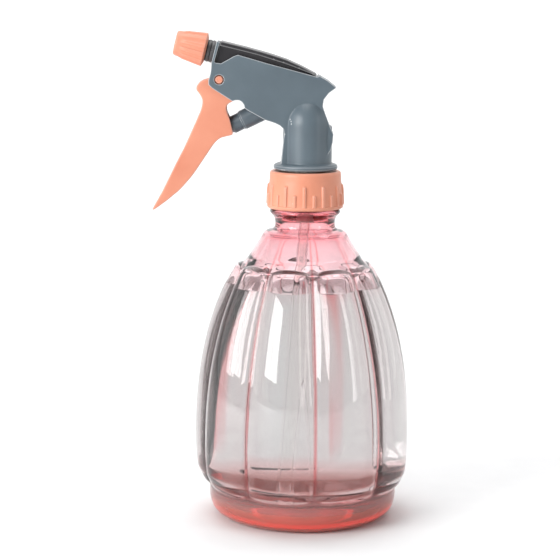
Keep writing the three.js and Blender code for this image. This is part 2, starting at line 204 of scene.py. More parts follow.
def smoothed_outline(points, radius=0.6, steps=4):
    """A closed outline with each corner rounded."""
    p = [np.array(q, float) for q in points]
    n, out = len(p), []
    for i in range(n):
        a, b, c = p[i - 1], p[i], p[(i + 1) % n]
        u, v = a - b, c - b
        lu, lv = np.linalg.norm(u), np.linalg.norm(v)
        u, v = u / lu, v / lv
        d = min(radius, lu * 0.48, lv * 0.48)
        s, e = b + u * d, b + v * d
        for k in range(steps + 1):
            t = k / steps
            q = (1 - t) ** 2 * s + 2 * t * (1 - t) * b + t * t * e
            if not out or np.linalg.norm(out[-1] - q) > 1e-4:
                out.append(q)
    return [tuple(q) for q in out]


def apply(obj):
    dg = bpy.context.evaluated_depsgraph_get()
    me = bpy.data.meshes.new_from_object(obj.evaluated_get(dg))
    old = obj.data
    obj.modifiers.clear()
    obj.data = me
    bpy.data.meshes.remove(old)
    return obj


def boolean(obj, other, how, keep=False):
    m = obj.modifiers.new("b", "BOOLEAN")
    m.operation, m.object, m.solver = how, other, "EXACT"
    apply(obj)
    if not keep:
        bpy.data.objects.remove(other)
    return obj


def union(a, *others):
    for o in others:
        boolean(a, o, "UNION")
    return a


def minus(a, *others):
    for o in others:
        boolean(a, o, "DIFFERENCE")
    return a


def moulded(obj, voxel=0.28, rounds=7, factor=0.5):
    """Soft moulded edges: an even mesh of the solid, relaxed a little."""
    m = obj.modifiers.new("even", "REMESH")
    m.mode, m.voxel_size, m.adaptivity = "VOXEL", voxel * MM, 0.0
    m.use_smooth_shade = True
    apply(obj)
    s = obj.modifiers.new("soft", "SMOOTH")
    s.factor, s.iterations = factor, rounds
    apply(obj)
    obj.data.polygons.foreach_set("use_smooth", [True] * len(obj.data.polygons))
    return obj


def finish_piece(obj, body, material, nodes=()):
    obj.data.materials.clear()
    obj.data.materials.append(material)
    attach(obj, body)
    if nodes:
        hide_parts(*nodes)
    return obj


# ------------------------------------------------------------------ materials
LOBES, PHASE, POWER = 9, math.radians(6.2), 2.2


def lin(r, g, b):
    def f(c):
        c /= 255.0
        return c / 12.92 if c <= 0.04045 else ((c + 0.055) / 1.055) ** 2.4
    return (f(r), f(g), f(b), 1.0)


def plastic(name, dark, mid, light, rough=(0.33, 0.45), grain=0.04, grain_scale=3500.0, coat=0.0, wave=0.0, sub=0.0, spec=0.5, edge_highlight=0.12):
    """Injection-moulded plastic: slow colour drift, fine spark-eroded grain, faint flow marks and a painted highlight
    that pales the raised edges.
    """
    m = bpy.data.materials.new(name)
    m.use_nodes = True
    nt = m.node_tree
    nt.nodes.clear()
    N, L = nt.nodes.new, nt.links.new
    out = N("ShaderNodeOutputMaterial")
    b = N("ShaderNodeBsdfPrincipled")
    L(b.outputs[0], out.inputs[0])
    tc = N("ShaderNodeTexCoord")
    slow = N("ShaderNodeTexNoise")
    slow.inputs["Scale"].default_value = 55.0
    slow.inputs["Detail"].default_value = 4.0
    L(tc.outputs["Object"], slow.inputs["Vector"])
    ramp = N("ShaderNodeValToRGB")
    e = ramp.color_ramp.elements
    e[0].position, e[0].color = 0.3, dark
    e[1].position, e[1].color = 0.72, light
    k = ramp.color_ramp.elements.new(0.5)
    k.color = mid
    L(slow.outputs["Fac"], ramp.inputs["Fac"])
    # painted highlight: paler towards white along raised edges, where pointiness is high
    geo = N("ShaderNodeNewGeometry")
    edge_highlight_range = N("ShaderNodeMapRange")
    edge_highlight_range.inputs["From Min"].default_value = 0.508
    edge_highlight_range.inputs["From Max"].default_value = 0.545
    edge_highlight_range.inputs["To Max"].default_value = edge_highlight
    L(geo.outputs["Pointiness"], edge_highlight_range.inputs["Value"])
    mix = N("ShaderNodeMix")
    mix.data_type = "RGBA"
    mix.inputs["B"].default_value = (1, 1, 1, 1)
    L(edge_highlight_range.outputs["Result"], mix.inputs["Factor"])
    L(ramp.outputs["Color"], mix.inputs["A"])
    L(mix.outputs["Result"], b.inputs["Base Color"])
    # roughness from a middle-sized noise
    mid_n = N("ShaderNodeTexNoise")
    mid_n.inputs["Scale"].default_value = 260.0
    mid_n.inputs["Detail"].default_value = 3.0
    L(tc.outputs["Object"], mid_n.inputs["Vector"])
    rr = N("ShaderNodeMapRange")
    rr.inputs["To Min"].default_value, rr.inputs["To Max"].default_value = rough
    L(mid_n.outputs["Fac"], rr.inputs["Value"])
    L(rr.outputs["Result"], b.inputs["Roughness"])
    # grain and flow marks
    fine_n = N("ShaderNodeTexNoise")
    fine_n.inputs["Scale"].default_value = grain_scale
    fine_n.inputs["Detail"].default_value = 2.0
    L(tc.outputs["Object"], fine_n.inputs["Vector"])
    bump = N("ShaderNodeBump")
    bump.inputs["Strength"].default_value = grain
    bump.inputs["Distance"].default_value = 0.0002
    L(fine_n.outputs["Fac"], bump.inputs["Height"])
    b2 = N("ShaderNodeBump")
    b2.inputs["Strength"].default_value = 0.10
    b2.inputs["Distance"].default_value = 0.0003
    L(slow.outputs["Fac"], b2.inputs["Height"])
    L(bump.outputs["Normal"], b2.inputs["Normal"])
    L(b2.outputs["Normal"], b.inputs["Normal"])
    b.inputs["IOR"].default_value = 1.5
    b.inputs["Specular IOR Level"].default_value = spec
    if coat:
        b.inputs["Coat Weight"].default_value = coat
        b.inputs["Coat Roughness"].default_value = 0.15
    if sub:
        b.inputs["Subsurface Weight"].default_value = sub
        b.inputs["Subsurface Radius"].default_value = (0.003, 0.0012, 0.0008)
        b.inputs["Subsurface Scale"].default_value = 1.0
    return m


def clear(name, ior, rough=0.0, tint=(1, 1, 1, 1), absorb=None, density=0.0, ripple=0.0, ripple_scale=40.0, heights=None, grooves=None):
    """Clear plastic or water, its colour from absorption along the way through and from a surface tint; the water's
    grey is painted shade.
    """
    m = bpy.data.materials.new(name)
    m.use_nodes = True
    nt = m.node_tree
    nt.nodes.clear()
    N, L = nt.nodes.new, nt.links.new
    out = N("ShaderNodeOutputMaterial")
    b = N("ShaderNodeBsdfPrincipled")
    b.inputs["Base Color"].default_value = tint
    b.inputs["Transmission Weight"].default_value = 1.0
    b.inputs["IOR"].default_value = ior
    L(b.outputs[0], out.inputs["Surface"])
    tc = N("ShaderNodeTexCoord")
    if absorb:
        v = N("ShaderNodeVolumeAbsorption")
        v.inputs["Color"].default_value = absorb
        v.inputs["Density"].default_value = density
        L(v.outputs[0], out.inputs["Volume"])
    if heights:
        # colour by height up the piece: [height in metres, colour]
        sep = N("ShaderNodeSeparateXYZ")
        L(tc.outputs["Object"], sep.inputs[0])
        lo, hi = heights[0][0], heights[-1][0]
        mr = N("ShaderNodeMapRange")
        mr.inputs["From Min"].default_value, mr.inputs["From Max"].default_value = lo, hi
        L(sep.outputs["Z"], mr.inputs["Value"])
        ramp = N("ShaderNodeValToRGB")
        e = ramp.color_ramp.elements
        e[0].position, e[0].color = 0.0, heights[0][1]
        e[1].position, e[1].color = 1.0, heights[-1][1]
        for h, c in heights[1:-1]:
            k = e.new((h - lo) / (hi - lo))
            k.color = c
        L(mr.outputs["Result"], ramp.inputs["Fac"])
        L(ramp.outputs["Color"], b.inputs["Base Color"])
        if grooves:
            def calc(op, a, c=None):
                q = N("ShaderNodeMath")
                q.operation = op
                for i, v in enumerate((a, c)):
                    if v is None:
                        continue
                    if isinstance(v, float):
                        q.inputs[i].default_value = v
                    else:
                        L(v, q.inputs[i])
                return q.outputs[0]
            turn = calc("ARCTAN2", sep.outputs["X"], calc("MULTIPLY", sep.outputs["Y"], -1.0))
            u = calc("FRACT", calc("ADD", calc("MULTIPLY", calc("SUBTRACT", turn, PHASE), LOBES / (2 * math.pi)), 10.0))
            w = calc("ABSOLUTE", calc("SUBTRACT", calc("MULTIPLY", u, 2.0), 1.0))
            near = N("ShaderNodeMapRange")
            near.interpolation_type = "SMOOTHSTEP"
            near.inputs["From Min"].default_value, near.inputs["From Max"].default_value = 0.91, 1.0
            L(w, near.inputs["Value"])
            level = N("ShaderNodeMapRange")
            level.inputs["From Min"].default_value, level.inputs["From Max"].default_value = 0.012, 0.024
            L(sep.outputs["Z"], level.inputs["Value"])
            mix = N("ShaderNodeMix")
            mix.data_type = "RGBA"
            L(calc("MULTIPLY", near.outputs["Result"], level.outputs["Result"]), mix.inputs["Factor"])
            L(ramp.outputs["Color"], mix.inputs["A"])
            mix.inputs["B"].default_value = grooves
            L(mix.outputs["Result"], b.inputs["Base Color"])
            foot_fill = N("ShaderNodeMapRange")
            foot_fill.inputs["From Min"].default_value, foot_fill.inputs["From Max"].default_value = 0.0085, 0.0160
            foot_fill.inputs["To Min"].default_value, foot_fill.inputs["To Max"].default_value = 0.63, 1.0
            L(sep.outputs["Z"], foot_fill.inputs["Value"])
            L(foot_fill.outputs["Result"], b.inputs["Transmission Weight"])
    n1 = N("ShaderNodeTexNoise")
    n1.inputs["Scale"].default_value = 300.0
    n1.inputs["Detail"].default_value = 2.0
    L(tc.outputs["Object"], n1.inputs["Vector"])
    rr = N("ShaderNodeMapRange")
    rr.inputs["To Min"].default_value, rr.inputs["To Max"].default_value = rough, rough + 0.02
    L(n1.outputs["Fac"], rr.inputs["Value"])
    L(rr.outputs["Result"], b.inputs["Roughness"])
    if ripple:
        n2 = N("ShaderNodeTexNoise")
        n2.inputs["Scale"].default_value = ripple_scale
        n2.inputs["Detail"].default_value = 3.0
        mp = N("ShaderNodeMapping")
        mp.inputs["Scale"].default_value = (1, 1, 0.35)
        L(tc.outputs["Object"], mp.inputs["Vector"])
        L(mp.outputs["Vector"], n2.inputs["Vector"])
        bump = N("ShaderNodeBump")
        bump.inputs["Strength"].default_value = ripple
        bump.inputs["Distance"].default_value = 0.001
        L(n2.outputs["Fac"], bump.inputs["Height"])
        L(bump.outputs["Normal"], b.inputs["Normal"])
    return m


def metal(name):
    m = plastic(name, (0.55, 0.55, 0.57, 1), (0.6, 0.6, 0.62, 1), (0.66, 0.66, 0.68, 1), rough=(0.18, 0.3), grain=0.02)
    m.node_tree.nodes["Principled BSDF"].inputs["Metallic"].default_value = 1.0
    return m


# edge sets the strength of the painted highlight along the raised edges of each moulding
PEACH = plastic("peach_moulding", lin(215, 134, 106), lin(220, 142, 114), lin(225, 150, 122), rough=(0.38, 0.5), sub=0.0)
PEACH_RING = plastic("peach_closure", lin(220, 141, 112), lin(226, 149, 120), lin(231, 156, 127), rough=(0.36, 0.46))
GREY = plastic("grey_moulding", lin(88, 100, 108), lin(93, 106, 114), lin(99, 112, 120), rough=(0.3, 0.4), edge_highlight=0.45)
DARK = plastic("dark_grey_moulding", lin(80, 91, 99), lin(87, 98, 106), lin(94, 106, 113), rough=(0.3, 0.42), edge_highlight=0.3)
BLACK = plastic("black_moulding", lin(28, 28, 31), lin(36, 35, 38), lin(46, 44, 47), rough=(0.28, 0.42), edge_highlight=0.2)
NATURAL = plastic("natural_moulding", lin(226, 222, 212), lin(233, 229, 221), lin(240, 237, 230), rough=(0.4, 0.55), sub=0.0)
RUBBER = plastic("seal_rubber", lin(22, 22, 23), lin(28, 28, 29), lin(36, 36, 37), rough=(0.6, 0.75))
STEEL = metal("bright_steel")
PET = clear("tinted_clear_plastic", 1.52, 0.0, absorb=(0.95, 0.10, 0.12, 1), density=34.0, ripple=0.05, ripple_scale=45.0, grooves=(1.0, 0.46, 0.47, 1), heights=[
    (0.0, (0.88, 0.17, 0.12, 1)), (0.0085, (0.95, 0.27, 0.21, 1)), (0.0125, (1.0, 0.55, 0.52, 1)), (0.0165, (1.0, 0.80, 0.79, 1)), (0.021, (1, 1, 1, 1)), (0.104, (1, 1, 1, 1)), (0.112, (0.99, 0.88, 0.895, 1)),
    (0.128, (0.98, 0.76, 0.79, 1)), (0.1325, (0.97, 0.54, 0.58, 1)), (0.137, (0.98, 0.80, 0.82, 1)), (0.1405, (0.93, 0.42, 0.46, 1)), (0.156, (0.95, 0.52, 0.57, 1))])
# water: its grey surface tint and grey absorption are painted shade, darkening the clear water to the grey of dim
# surroundings seen through it
WATER = clear("water", 1.333, 0.0, tint=(0.61, 0.615, 0.61, 1), absorb=(0.90, 0.90, 0.903, 1), density=10.0)
TUBE = clear("translucent_tube", 1.35, 0.22, tint=(0.98, 0.93, 0.92, 1))
TUBE_WET = clear("tube_under_water", 1.035, 0.0, tint=(0.99, 0.985, 0.98, 1))

# ------------------------------------------------------------------ bottle
WATER_Z = 108.5
CONE = [(112, 32.9), (116.3, 29.75), (118.8, 27.5), (121.0, 25.7), (125.6, 22.9), (130.0, 20.0)]
OUTER_R = [(12.6, 43.3), (14.4, 43.9), (15.6, 45.2), (17.0, 46.3), (19.4, 47.6), (22.5, 49.0), (30, 49.78), (42, 50.0), (55, 49.45), (70, 47.85), (85, 44.85), (97.5, 41.05), (108, 36.65), (113, 33.9), (116.4, 31.9), (118.4, 30.9)]
VALLEY_R = [(12.6, 43.3), (14.4, 43.4), (15.6, 43.4), (17.0, 43.7), (19.4, 44.4), (22.5, 45.2), (30, 46.0), (42, 46.1), (55, 45.4), (70, 43.3), (85, 40.0), (97.5, 36.4), (108, 32.6), (112.4, 31.0), (115.0, 30.1), (118.4, 27.85)]


def curve_of(table):
    z = np.array([q[0] for q in table], float)
    r = np.array([q[1] for q in table], float)
    pts = fine(np.stack([z, r], 1), 8)
    return lambda x: np.interp(x, pts[:, 0], pts[:, 1])


cone_r, outer_r, valley_r = curve_of(CONE), curve_of(OUTER_R), curve_of(VALLEY_R)


def smoothstep(a, b, x):
    t = np.clip((x - a) / (b - a), 0, 1)
    return t * t * (3 - 2 * t)


def lobed(z, phi, inset=0.0):
    """Outer radius of the bottle between the foot and the neck, at height z and angles phi from the front."""
    u = (((phi - PHASE) / (2 * np.pi)) * LOBES) % 1.0
    w = np.abs(2 * u - 1)
    bulge = np.sqrt(np.clip(1 - w ** POWER, 0, 1)) * 0.35 + (1 - w ** POWER) * 0.65
    top = 118.2 - 3.2 * w ** 3
    low = 14.6 + 1.2 * w ** 3
    s = smoothstep(top + 0.25, top - 1.35, z) * smoothstep(low - 1.2, low + 1.8, z)
    v = np.where(z > 116.0, cone_r(z), np.minimum(valley_r(z), cone_r(z) if z > 112 else 1e9))
    return v + s * (outer_r(z) - v) * bulge


def wall(z):
    """Wall thickness of the blown bottle: thick at the foot and the shoulder, thin between."""
    return float(np.interp(z, [12, 14.5, 17, 22.5, 24.5, 27, 60, 97, 106, 114, 120, 128, 133, 141, 155], [4.6, 2.4, 1.5, 1.1, 0.85, 0.5, 0.5, 0.6, 0.8, 1.0, 1.2, 1.6, 2.0, 2.1, 1.8]))


foot = softened([(0, 0.8), (9, 0.8), (15.5, 3.4), (24.5, 0), (34, 0)], 2.2, 5)[:-1]
foot2 = fine([(33.0, 0.0), (35.8, 0.25), (38.3, 1.15), (40.4, 2.6), (41.9, 4.6), (42.8, 7.0), (43.25, 9.8), (43.3, 12.2)], 5)
rows = [(r, z, 0) for r, z in foot] + [(r, z, 0) for r, z in foot2]
for z in list(np.arange(12.5, 24, 0.33)) + list(np.arange(24, 104, 2.0)) + list(np.arange(104, 112.0, 0.8)) + list(np.arange(112.0, 120.0, 0.22)):
    rows.append((0, float(z), 1))
neck = fine([(26.1, 120.4), (25.2, 122.0), (22.9, 125.6), (20.2, 129.9), (19.5, 131.1), (18.6, 132.3), (17.2, 133.1), (14.9, 133.7), (14.0, 134.7), (13.75, 136.2), (13.9, 138.3), (14.8, 140.1), (15.75, 141.0), (16.1, 141.9), (15.8, 142.7), (14.6, 143.05), (12.9, 143.1)], 4)
rows += [(r, z, 0) for r, z in neck]
rows += [(r, z, 0) for r, z in softened([(12.75, 143.3), (12.75, 154.55), (10.95, 154.55), (10.95, 140.5)], 0.35, 3)]
inner_neck = fine([(10.95, 139.5), (11.3, 137.2), (12.1, 135.0), (13.2, 133.2), (15.6, 132.1), (17.6, 130.6), (19.2, 128.4), (21.5, 124.9), (24.7, 120.6)], 4)
rows += [(r, z, 0) for r, z in inner_neck]
inner_start = len(rows)
for z in list(np.arange(119.6, 108, -0.5)) + list(np.arange(108, 28, -2.0)) + list(np.arange(28, 14.4, -0.5)):
    rows.append((0, float(z), 2))
inner_foot = fine([(38.6, 13.9), (37.2, 12.7), (34.6, 11.7), (30.5, 11.0), (24, 10.5), (14, 10.2), (0, 10.1)], 4)
rows += [(r, z, 0) for r, z in inner_foot]


def inside(z, phi):
    """Inner radius: the outer surface set in by the wall, with more plastic beside each groove."""
    soft = sum(lobed(z + d, phi) for d in (-2.0, -1.0, 0.0, 1.0, 2.0)) / 5
    low = soft
    for s in (1, 2, 3, 4, 5):
        low = np.minimum(low, np.minimum(np.roll(soft, s), np.roll(soft, -s)) + 0.10 * s)
    low = sum(np.roll(low, s) for s in range(-2, 3)) / 5
    inner = np.minimum(low, soft) - wall(z)
    if z < 20:
        inner = np.minimum(inner, 38.9 + (z - 14.4) * 0.95)
    return inner


def bottle_warp(i, r, z, phi):
    kind = rows[i][2]
    if kind == 0:
        return np.full(len(phi), r)
    if kind == 1:
        return lobed(z, phi)
    return inside(z, phi)


bottle = turned("bottle_shell", [(r, z) for r, z, _ in rows], n=360, warp=bottle_warp)
finish_piece(bottle, "bottle", PET, ["bottle"])

# water: closed solid that reaches a little into the wall
wrows = [(0, 9.95, 0)] + [(r, z - 0.15, 0) for r, z in inner_foot[::-1][1:]]
for z in list(np.arange(14.5, 28, 0.5)) + list(np.arange(28, WATER_Z - 0.3, 2.0)) + [WATER_Z - 0.25]:
    wrows.append((0, float(z), 2))
wrows += [(0, WATER_Z, 3), (0, WATER_Z - 0.12, 4), (30, WATER_Z - 0.16, 0), (20, WATER_Z - 0.18, 0), (0, WATER_Z - 0.18, 0)]


def water_warp(i, r, z, phi):
    kind = wrows[i][2]
    if kind == 0:
        return np.full(len(phi), r + (0.12 if 0 < r < 40 and z < 20 else 0.0))
    return inside(z, phi) + {2: 0.15, 3: 0.12, 4: -0.9}[kind]


water = turned("water", [(r, z) for r, z, _ in wrows], n=360, warp=water_warp)
finish_piece(water, "bottle", WATER)

# ------------------------------------------------------------------ closure ring
RIBS = 24
ring_prof = softened([(9.5, 158.8), (14.25, 158.8), (14.25, 143.4), (16.8, 143.4), (17.45, 144.0), (17.5, 145.05), (17.1, 145.35), (16.95, 148.0), (16.8, 151.0), (16.55, 154.2), (16.35, 156.6), (16.35, 159.5), (15.75, 160.4), (9.5, 160.4)], 0.45, 4)
dense = []
for a, b in zip(ring_prof, ring_prof[1:]):
    long_side = a[0] > 15.6 and b[0] > 15.6 and abs(b[1] - a[1]) > 0.3
    steps = max(1, int(abs(b[1] - a[1]) / 0.25)) if long_side else 1
    for k in range(steps):
        dense.append(a + (b - a) * k / steps)
dense.append(ring_prof[-1])


def rib_warp(i, r, z, phi):
    if r < 15.6 or not 144.9 < z < 155.4:
        return np.full(len(phi), r)
    k = (phi / (2 * np.pi) * RIBS + 0.633) % RIBS
    idx = np.floor(k).astype(int)
    dist = np.abs(k - idx - 0.5) / RIBS * 2 * np.pi * 17.2
    top = np.where(idx % 2 == 0, 154.9, 150.9)
    across = 1 - smoothstep(0.50, 0.86, dist)
    along = smoothstep(0.0, 0.9, top - z) * smoothstep(144.95, 145.4, z)
    lean = np.interp(z, [145, 152, 155], [17.82, 17.6, 17.15])
    return r + across * along * np.maximum(lean - r, 0)


closure = turned("closure_moulding", dense, n=24 * 26, warp=rib_warp)
finish_piece(closure, "closure", PEACH_RING, ["closure_ring"])

# ------------------------------------------------------------------ head housing
SIDE = [
    (-40.5, 219.0), (-39.05, 218.7), (-41.55, 209.8), (-41.0, 209.35), (-38.5, 209.1), (-36.3, 210.35), (-32.7, 212.4), (-30.9, 213.0), (-17.8, 209.3), (5.2, 203.3), (5.4, 204.1), (9.6, 201.7), (13.5, 198.6),
    (10.2, 196.2), (7.9, 193.2), (7.5, 190.2), (8.9, 185.9), (10.9, 180.9), (12.4, 177.7), (12.1, 174.0), (11.3, 170.6), (9.6, 168.0), (8.0, 167.2), (6.0, 176.0), (-9.6, 176.0), (-10.3, 179.9), (-11.6, 181.2), (-14.3, 182.5), (-18.7, 183.9),
    (-26.9, 188.4), (-27.9, 189.3), (-28.15, 190.5), (-29.0, 191.8), (-30.3, 192.6), (-32.0, 192.6), (-33.3, 192.15), (-34.1, 192.6), (-42.4, 197.9), (-44.2, 199.5), (-44.2, 201.4), (-43.4, 204.4), (-43.1, 206.2), (-42.95, 209.0)]
BX, BRX, BRY = 0.75, 11.2, 12.2


def oval(name, inset, z0, z1, n=96):
    o = turned(name, [(0, z0), (1, z0), (1, z1), (0, z1)], n=n, smooth=False)
    place(o, Matrix.Translation((BX * MM, 0, 0)) @ Matrix.Diagonal((BRX - inset, BRY - inset, 1, 1)))
    return o


def dome(name, inset, n=96):
    prof = [(math.sin(t), -math.cos(t)) for t in np.linspace(0, math.pi, 40)]
    prof[0], prof[-1] = (0, -1), (0, 1)
    o = turned(name, prof, n=n, smooth=False)
    place(o, Matrix.Translation((BX * MM, 0, 181 * MM)) @ Matrix.Diagonal((BRX - inset, BRY - inset, 13.4 - inset, 1)))
    return o


nozzle_m = Matrix.Translation((-0.041, 0, 0.21375)) @ Matrix.Rotation(-(math.pi / 2 - math.radians(13.2)), 4, "Y")
pump_m = Matrix.Translation((-0.0334, 0, 0.1810)) @ Matrix.Rotation(math.pi / 2 - math.radians(26), 4, "Y")

plates = slab("plates", SIDE, -7.5, 7.5)
barrel = oval("barrel", 0, 163.4, 181)
d = dome("dome", 0)
lim = slab("lim", [(-14, 165), (12.4, 165), (12.5, 177.7), (10.9, 180.9), (8.9, 185.9), (7.5, 190.2), (7.9, 196), (-14, 196)], -14, 14)
boolean(d, lim, "INTERSECT")
flange = turned("flange", [(0, 161.2), (14.2, 161.2), (14.6, 161.7), (14.6, 162.9), (14.0, 163.5), (12.7, 163.95), (0, 163.95)], n=96, smooth=False)
keel = slab("keel", [(-11.3, 163.4), (0, 163.4), (0, 177), (-10.0, 177)], -7.5, 7.5)
housing = union(plates, barrel, d, flange, keel)
housing.name = "head_housing"
slot = slab("slot", [(-36.5, 226), (-39.0, 218.7), (-41.6, 209.4), (-42.0, 207.2), (-42.2, 206.0), (-52, 206.0), (-52, 184), (-20.4, 179.5), (-14.6, 182.3), (-12.45, 183.3), (-8.4, 185.1), (-8.4, 176),
                     (6.4, 176), (6.0, 190.2), (6.6, 194.0), (8.4, 197.2), (4.2, 201.0), (2.6, 226)], -6.2, 6.2)
bore1 = oval("bore1", 1.6, 168.6, 181.2)
bore2 = dome("bore2", 1.6)
lim2 = slab("lim2", [(-14, 170), (10.8, 170), (10.9, 177.4), (9.4, 180.5), (7.4, 185.6), (6.0, 190.1), (6.2, 196), (-14, 196)], -14, 14)
boolean(bore2, lim2, "INTERSECT")
seat = turned("seat", [(0, 160.2), (9.1, 160.2), (9.1, 168.9), (0, 168.9)], n=64, smooth=False)
notch = place(turned("notch", [(0, -4), (5.1, -4), (5.1, 3), (0, 3)], n=48, smooth=False), nozzle_m)
hole = place(turned("hole", [(0, -20), (2.2, -20), (2.2, 20), (0, 20)], n=48, smooth=False), Matrix.Translation((-0.0394, 0, 0.2018)) @ Matrix.Rotation(math.pi / 2, 4, "X"))
nb = slab("nb", [(0, 0), (1, 0), (1, 1), (0, 1)], 0, 1)
place(nb, Matrix.Translation((0, -0.0051, -0.004)) @ Matrix.Diagonal((12.0, 10.2, 7.0, 1)))
place(nb, nozzle_m)
minus(housing, slot, bore1, bore2, seat, notch, nb, hole)
moulded(housing, 0.22, 4)
finish_piece(housing, "head", GREY, ["body_frame"])

# ------------------------------------------------------------------ trigger
TRIG = [
    (-44.6, 201.9), (-46.2, 201.6), (-48.1, 200.7), (-49.6, 199.0), (-49.9, 197.2), (-48.2, 195.2), (-47.1, 193.2), (-46.9, 191.4), (-47.6, 188.1), (-51.4, 179.5), (-55.2, 171.0), (-58.9, 163.8), (-65.2, 150.9), (-69.9, 142.4),
    (-68.8, 142.5), (-63.4, 146.4), (-57.4, 151.4), (-53.3, 155.9), (-50.4, 159.6), (-45.9, 166.4), (-41.6, 172.9), (-39.1, 175.4), (-33.0, 176.9), (-33.2, 178.5), (-34.85, 185.0), (-35.9, 187.3), (-36.1, 189.5), (-35.5, 190.7), (-34.3, 191.5), (-32.9, 192.1), (-32.5, 193.2), (-34.6, 196.6), (-35.6, 198.6),
    (-35.85, 201.4), (-36.4, 203.6), (-38.0, 205.1), (-40.2, 205.3), (-42.0, 204.3)]
blade = slab("trigger_lever", smoothed_outline(TRIG, 1.6, 4), -5.9, 5.9)
stub = place(turned("stub", [(0, -7.2), (1.75, -7.2), (1.75, 7.2), (0, 7.2)], n=48, smooth=False), Matrix.Translation((-0.0394, 0, 0.2018)) @ Matrix.Rotation(math.pi / 2, 4, "X"))
union(blade, stub)
tail = slab("tail", [(-49.6, 178.6), (-53.4, 170.4), (-57.0, 163.2), (-62.6, 151.6), (-58, 146), (-38, 163), (-36, 171.6), (-40.4, 176.4), (-46.6, 177.6)], -4.5, 4.5)
upper = slab("upper", [(-44.6, 191.6), (-45.2, 189.6), (-45.4, 188.4), (-30, 188.4), (-30, 196.4), (-43.2, 196.4)], -4.5, 4.5)
saddle = slab("saddle", [(-33.8, 174.75), (-37.0, 185.17), (-33.2, 186.35), (-28.1, 176.5)], -4.5, 4.5)
minus(blade, tail, upper, saddle)
moulded(blade, 0.3, 6)
finish_piece(blade, "trigger", PEACH, ["trigger"])

# ------------------------------------------------------------------ black cover strip
TOP = [(4.9, 204.3), (-2.0, 207.9), (-8.8, 210.9), (-15.5, 213.1), (-22.1, 214.95), (-29.6, 216.9), (-38.7, 219.0)]
UNDER = [(-39.25, 217.1), (-22.1, 213.0), (-8.8, 208.9), (2.6, 204.6), (3.4, 203.9)]
SKIRT = [(-39.15, 217.4), (-41.2, 210.0), (-41.5, 207.6), (-38.0, 206.7), (-30.7, 209.6), (-17.8, 206.6), (-2.0, 203.4), (3.0, 202.6), (3.3, 204.3), (-2.0, 207.0), (-15.5, 212.2)]
deck = slab("cover_strip", TOP + UNDER, -7.1, 7.1)
for sgn in (1, -1):
    union(deck, slab("skirt", SKIRT, 5.1 if sgn > 0 else -5.9, 5.9 if sgn > 0 else -5.1))
moulded(deck, 0.28, 4)
finish_piece(deck, "head", BLACK, ["top_cover"])

# ------------------------------------------------------------------ nozzle
cap_prof = softened([(0.46, 18.2), (0.46, 17.4), (4.35, 17.4), (4.35, 14.3), (5.25, 14.2), (5.25, 12.6), (4.35, 12.5), (4.35, 12.2), (5.05, 11.9), (5.05, 4.5), (5.65, 4.5), (7.35, 5.4), (7.3, 5.9), (5.6, 18.3), (5.1, 19.0), (1.6, 19.0), (0.46, 18.2)][:-1], 0.3, 3)
dense = []
for a, b in zip(cap_prof, cap_prof[1:]):
    long_side = a[0] > 4.9 and b[0] > 5.05 and abs(b[1] - a[1]) > 0.4 and (a[0] > 5.3 or b[0] > 5.3)
    steps = max(1, int(abs(b[1] - a[1]) / 0.3)) if long_side else 1
    for k in range(steps):
        dense.append(a + (b - a) * k / steps)
dense.append(cap_prof[-1])


def cap_warp(i, r, z, phi):
    if r < 5.15 or not 4.6 < z < 17.2:
        return np.full(len(phi), r)
    k = (phi / (2 * np.pi) * 12) % 12
    dist = np.abs(k - np.floor(k) - 0.5) / 12 * 2 * np.pi * 6.3
    across = 1 - smoothstep(0.45, 1.15, dist)
    along = smoothstep(16.9, 14.2, z) * smoothstep(4.6, 5.4, z)
    return r + across * along * 0.42 - (1 - across) * along * 0.12


cap = turned("nozzle_moulding", dense, n=12 * 30, warp=cap_warp)
place(cap, nozzle_m)
outward(cap)
finish_piece(cap, "nozzle", PEACH, ["nozzle_cap"])

boss = turned("delivery_boss", softened([(1.2, -19.1), (1.95, -19.1), (1.95, -13.7), (2.9, -13.7), (2.9, -0.6), (4.8, -0.6), (4.8, 1.0), (5.1, 1.1), (5.1, 2.2), (4.85, 2.35), (4.85, 2.75), (5.1, 2.9), (5.1, 3.9), (4.8, 4.0), (4.8, 5.2), (4.15, 5.6), (4.15, 11.8), (3.95, 12.0), (3.95, 15.9), (3.6, 16.3), (2.75, 16.3), (2.75, 2.4), (1.2, 2.4)], 0.25, 3), n=96)
place(boss, nozzle_m)
outward(boss)
finish_piece(boss, "head", BLACK, ["delivery_tube"])

# ------------------------------------------------------------------ pump
rod = turned("piston_stem", softened([(0, -2.05), (1.9, -1.8), (3.2, -1.1), (4.0, 0.0), (4.0, 4.35), (4.2, 4.45), (4.2, 4.8), (4.5, 5.2), (4.5, 22.2), (4.95, 22.3), (4.95, 23.0), (3.2, 23.2), (3.2, 27.2), (2.4, 27.2), (2.4, 10.0), (0, 10.0)], 0.2, 3), n=96)
place(rod, pump_m)
outward(rod)
finish_piece(rod, "piston", DARK, ["piston_rod"])



def coil(name, r, pitch, turns, s0, wire, matrix):
    """A compression spring about local z, closed at both ends."""
    verts, faces, n, per = [], [], 10, 40
    total = int(turns * per)
    for i in range(total + 1):
        t = i / per * 2 * math.pi
        c = Vector((r * math.cos(t), r * math.sin(t), s0 + pitch * i / per))
        d = Vector((-r * math.sin(t), r * math.cos(t), pitch / (2 * math.pi))).normalized()
        a = Vector((math.cos(t), math.sin(t), 0))
        b = d.cross(a)
        for k in range(n):
            q = 2 * math.pi * k / n
            verts.append((c + (a * math.cos(q) + b * math.sin(q)) * wire) * MM)
    for i in range(total):
        for k in range(n):
            j = (k + 1) % n
            faces.append((i * n + k, i * n + j, (i + 1) * n + j, (i + 1) * n + k))
    faces.append(tuple(range(n - 1, -1, -1)))
    faces.append(tuple(range(total * n, total * n + n)))
    o = mesh_of(name, verts, faces)
    place(o, matrix)
    outward(o)
    return o


